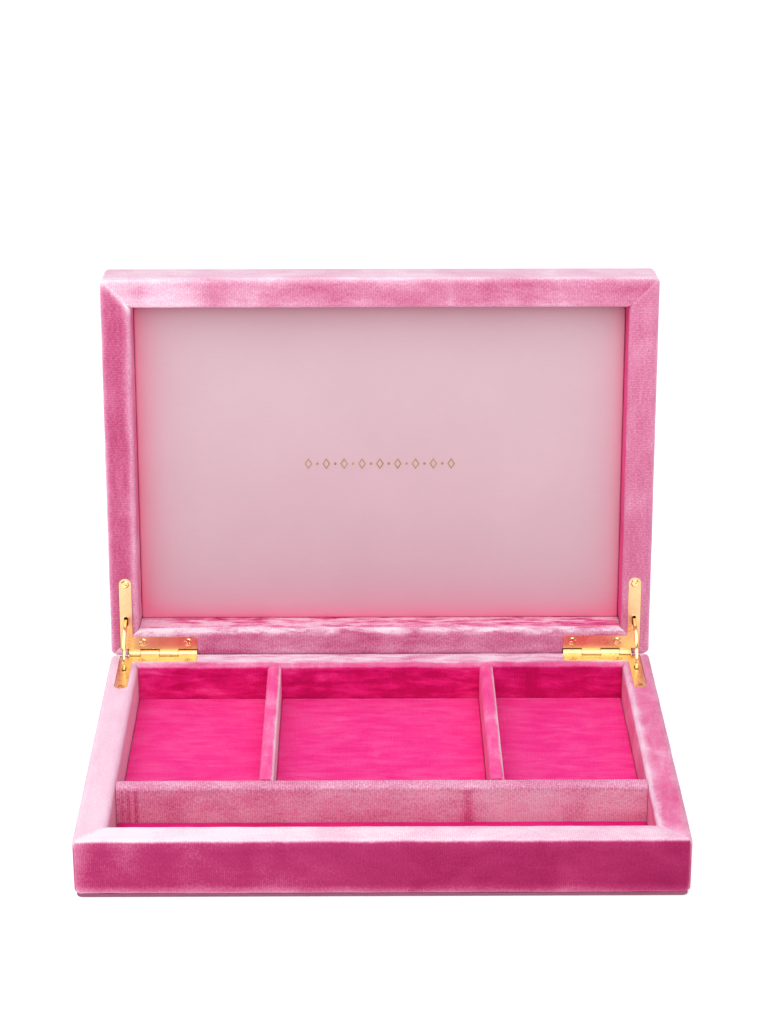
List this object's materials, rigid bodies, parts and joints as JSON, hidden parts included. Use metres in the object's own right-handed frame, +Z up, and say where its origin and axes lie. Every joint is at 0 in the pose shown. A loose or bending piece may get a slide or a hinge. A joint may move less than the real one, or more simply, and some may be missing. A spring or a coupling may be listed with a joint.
{
  "type": "jewelry box",
  "caption": "Hinged jewellery box in pink velvet, with a divided base and front tray, a satin-lined lid and gilt stay hinges that stop the lid just past upright.",
  "frame": {"origin": "centre of the base's underside, on the surface that the box rests on", "axes": "+Z up, +X to the right as the open box is used, +Y to the back, where the hinges are; the lid stands open on its stops"},
  "size_m": [0.28, 0.2423, 0.2266],
  "materials": {
    "rim_velvet": "short pile velvet in mid pink, silvery where the pile is seen along its tips",
    "floor_velvet": "short pile velvet in hot pink, brushed in patches",
    "lining_satin": "smooth pale pink satin with a fine rib",
    "bottom_board": "matt dark pink covering paper",
    "fibreboard": "raw sanded fibreboard",
    "greyboard": "plain grey board",
    "gilt_brass": "polished gilt with a light brushed grain",
    "gold_foil": "hot stamped foil, slightly matt"
  },
  "bodies": {
    "base": {"bottom_cover": "bottom_board", "base_board": "fibreboard", "base_front_rail": "fibreboard", "base_back_rail": "fibreboard", "base_left_rail": "fibreboard", "base_right_rail": "fibreboard", "base_front_velvet": "rim_velvet", "base_back_velvet": "rim_velvet", "base_left_velvet": "rim_velvet", "base_right_velvet": "rim_velvet", "long_divider_core": "fibreboard", "left_divider_core": "fibreboard", "right_divider_core": "fibreboard", "long_divider_velvet": "rim_velvet", "left_divider_velvet": "rim_velvet", "right_divider_velvet": "rim_velvet", "front_tray_card": "greyboard", "left_floor_card": "greyboard", "centre_floor_card": "greyboard", "right_floor_card": "greyboard", "front_tray_velvet": "floor_velvet", "left_floor_velvet": "floor_velvet", "centre_floor_velvet": "floor_velvet", "right_floor_velvet": "floor_velvet", "left_base_leaf": "gilt_brass", "right_base_leaf": "gilt_brass", "left_hinge_pin": "gilt_brass", "right_hinge_pin": "gilt_brass", "base_hinge_screws": "gilt_brass"},
    "lid": {"lid_top_board": "fibreboard", "lid_front_rail": "fibreboard", "lid_back_rail": "fibreboard", "lid_left_rail": "fibreboard", "lid_right_rail": "fibreboard", "lid_front_velvet": "rim_velvet", "lid_back_velvet": "rim_velvet", "lid_left_velvet": "rim_velvet", "lid_right_velvet": "rim_velvet", "lid_top_velvet": "rim_velvet", "lid_lining_board": "greyboard", "lid_lining_satin": "lining_satin", "lid_foil_ornament": "gold_foil", "left_lid_leaf": "gilt_brass", "right_lid_leaf": "gilt_brass", "lid_hinge_screws": "gilt_brass"},
    "left_stay": {"left_stay": "gilt_brass"},
    "right_stay": {"right_stay": "gilt_brass"}
  },
  "joints": [
    {"name": "lid_hinge", "type": "hinge", "parent": "base", "child": "lid", "pos_m": [0, 0.0985, 0.02915], "axis": [1, 0, 0], "range_deg": [0, 95]},
    {"name": "left_stay_swing", "type": "hinge", "parent": "base", "child": "left_stay", "pos_m": [-0.1317, 0.0985, 0.02915], "axis": [1, 0, 0], "range_deg": [0, 47.5]},
    {"name": "right_stay_swing", "type": "hinge", "parent": "base", "child": "right_stay", "pos_m": [0.1317, 0.0985, 0.02915], "axis": [1, 0, 0], "range_deg": [0, 47.5]}
  ],
  "couplings": [
    {"joint": "left_stay_swing", "follows": "lid_hinge", "ratio": 0.5},
    {"joint": "right_stay_swing", "follows": "lid_hinge", "ratio": 0.5}
  ]
}
